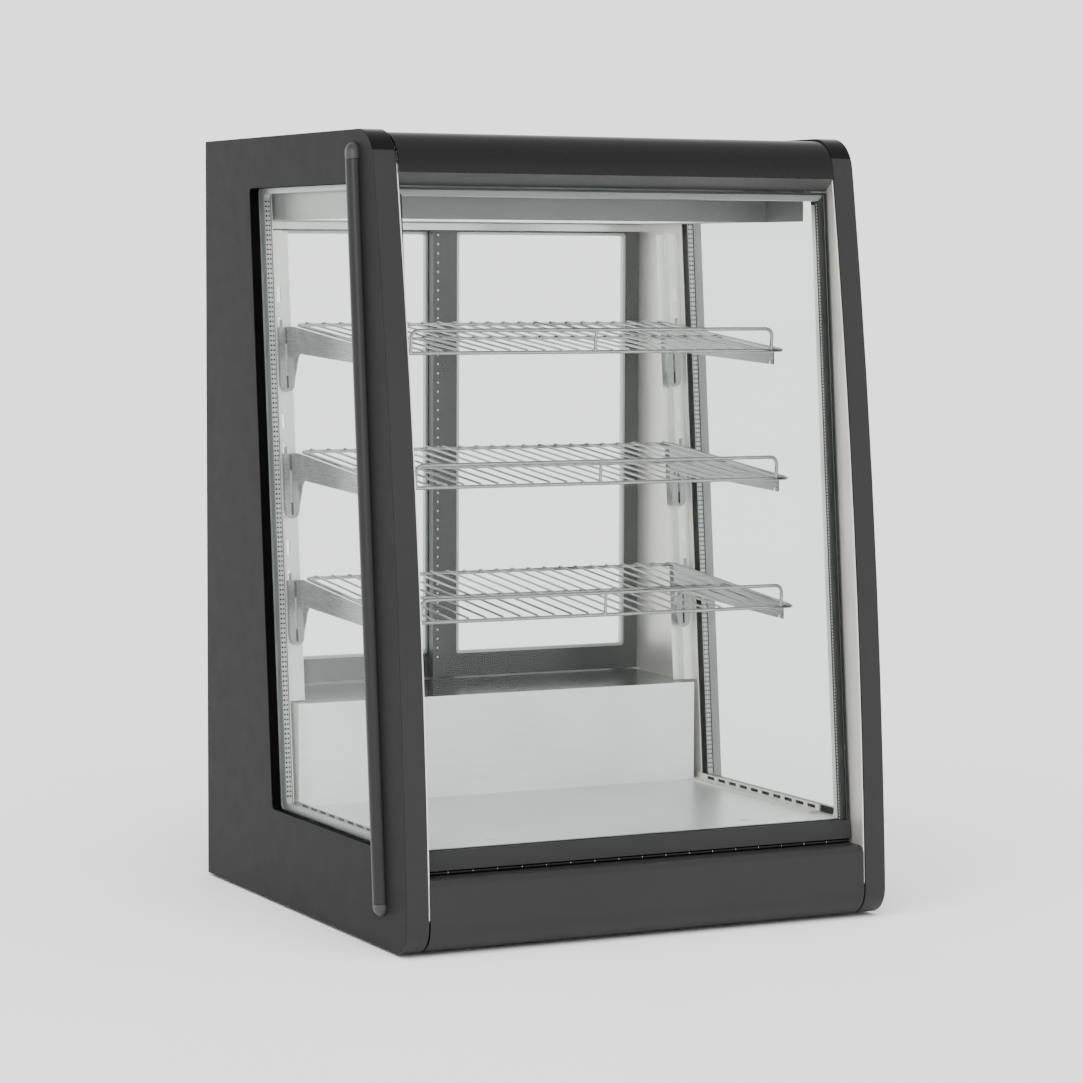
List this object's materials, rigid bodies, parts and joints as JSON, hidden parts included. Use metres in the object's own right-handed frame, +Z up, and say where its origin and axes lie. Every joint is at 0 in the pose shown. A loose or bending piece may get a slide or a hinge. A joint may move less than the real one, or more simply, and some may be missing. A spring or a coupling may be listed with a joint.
{
  "type": "countertop bakery display case",
  "caption": "Countertop bakery display case with glazed sides, tilting front glass, sloped wire shelves, lit canopy and sliding rear doors",
  "frame": {"origin": "centre of the bounding box footprint, at the underside of the rubber feet", "axes": "+Z up, +X to the right seen from the front, +Y to the rear; the front glass faces -Y"},
  "size_m": [0.58, 0.5546, 0.83],
  "materials": {
    "charcoal_paint": "satin powder coat",
    "bronze_anodised": "dark anodised, brushed",
    "rear_paint": "satin powder coat",
    "stainless": "brushed",
    "upright_steel": "bright drawn",
    "bracket_steel": "plated",
    "chrome_wire": "polished",
    "clear_glass": "clear float",
    "spacer_aluminium": "perforated, matt",
    "black_rubber": "matt",
    "galvanised": "galvanised",
    "screw_steel": "zinc plated",
    "diffuser": "opal",
    "led_white": "solder resist",
    "door_aluminium": "dark anodised, brushed",
    "compressor_black": "gloss enamel",
    "copper_fins": "fins on copper tube",
    "fin_aluminium": "mill",
    "black_plastic": "moulded",
    "white_plastic": "moulded",
    "red_plastic": "moulded, lit"
  },
  "bodies": {
    "case": {"side_panel_left": "charcoal_paint", "side_panel_right": "charcoal_paint", "side_liner_left": "stainless", "side_liner_right": "stainless", "side_glass_left": "clear_glass", "side_glass_right": "clear_glass", "side_spacers": "spacer_aluminium", "side_gaskets": "black_rubber", "trim_bar_left": "bronze_anodised", "trim_bar_right": "bronze_anodised", "trim_end_caps": "charcoal_paint", "top_beam": "charcoal_paint", "lower_beam": "charcoal_paint", "roof_panel": "charcoal_paint", "base_tray": "galvanised", "rubber_feet": "black_rubber", "deck_plate": "stainless", "vent_strips": "galvanised", "machine_cover": "stainless", "rear_panel": "rear_paint", "rear_panel_screws": "screw_steel", "rear_header": "rear_paint", "rear_sill": "stainless", "hinge_leaf_fixed": "charcoal_paint", "hinge_pin": "screw_steel", "glass_stops": "black_rubber", "upright_left": "upright_steel", "upright_right": "upright_steel", "bracket_left_1": "bracket_steel", "bracket_left_2": "bracket_steel", "bracket_left_3": "bracket_steel", "bracket_right_1": "bracket_steel", "bracket_right_2": "bracket_steel", "bracket_right_3": "bracket_steel", "canopy": "stainless", "light_diffuser": "diffuser", "led_board": "led_white", "led_driver": "galvanised", "compressor": "compressor_black", "condenser": "copper_fins", "fan_frame": "black_plastic", "evaporator": "fin_aluminium", "thermostat_body": "white_plastic", "power_inlet": "black_plastic", "switch_body": "black_plastic"},
    "front_window": {"front_glass": "clear_glass", "front_spacer": "spacer_aluminium", "front_rail": "charcoal_paint", "front_seal": "black_rubber", "hinge_leaf_moving": "charcoal_paint"},
    "shelf_low": {"wire_shelf_1": "chrome_wire"},
    "shelf_mid": {"wire_shelf_2": "chrome_wire"},
    "shelf_top": {"wire_shelf_3": "chrome_wire"},
    "door_left": {"door_frame_left": "door_aluminium", "door_glass_left": "clear_glass"},
    "door_right": {"door_frame_right": "door_aluminium", "door_glass_right": "clear_glass"},
    "fan": {"fan_blades": "black_plastic"},
    "knob": {"thermostat_knob": "black_plastic"},
    "rocker": {"switch_rocker": "red_plastic"}
  },
  "joints": [
    {"name": "front_window_hinge", "type": "hinge", "parent": "case", "child": "front_window", "pos_m": [0, -0.24848, 0.0805], "axis": [1, 0, 0], "range_deg": [0, 55]},
    {"name": "shelf_low_lift", "type": "slide", "parent": "case", "child": "shelf_low", "axis": [0, 0, 1], "range_m": [0, 0.03]},
    {"name": "shelf_mid_lift", "type": "slide", "parent": "case", "child": "shelf_mid", "axis": [0, 0, 1], "range_m": [0, 0.03]},
    {"name": "shelf_top_lift", "type": "slide", "parent": "case", "child": "shelf_top", "axis": [0, 0, 1], "range_m": [0, 0.03]},
    {"name": "door_left_slide", "type": "slide", "parent": "case", "child": "door_left", "axis": [1, 0, 0], "range_m": [0, 0.234]},
    {"name": "door_right_slide", "type": "slide", "parent": "case", "child": "door_right", "axis": [-1, 0, 0], "range_m": [0, 0.234]},
    {"name": "condenser_fan_spin", "type": "hinge", "parent": "case", "child": "fan", "pos_m": [0.09, 0.23332, 0.105], "axis": [0, 1, 0], "continuous": true},
    {"name": "thermostat_turn", "type": "hinge", "parent": "case", "child": "knob", "pos_m": [-0.06, 0.27432, 0.06], "axis": [0, 1, 0], "range_deg": [0, 270]},
    {"name": "light_switch_rock", "type": "hinge", "parent": "case", "child": "rocker", "pos_m": [-0.13, 0.26632, 0.06], "axis": [1, 0, 0], "range_deg": [0, 16]}
  ]
}
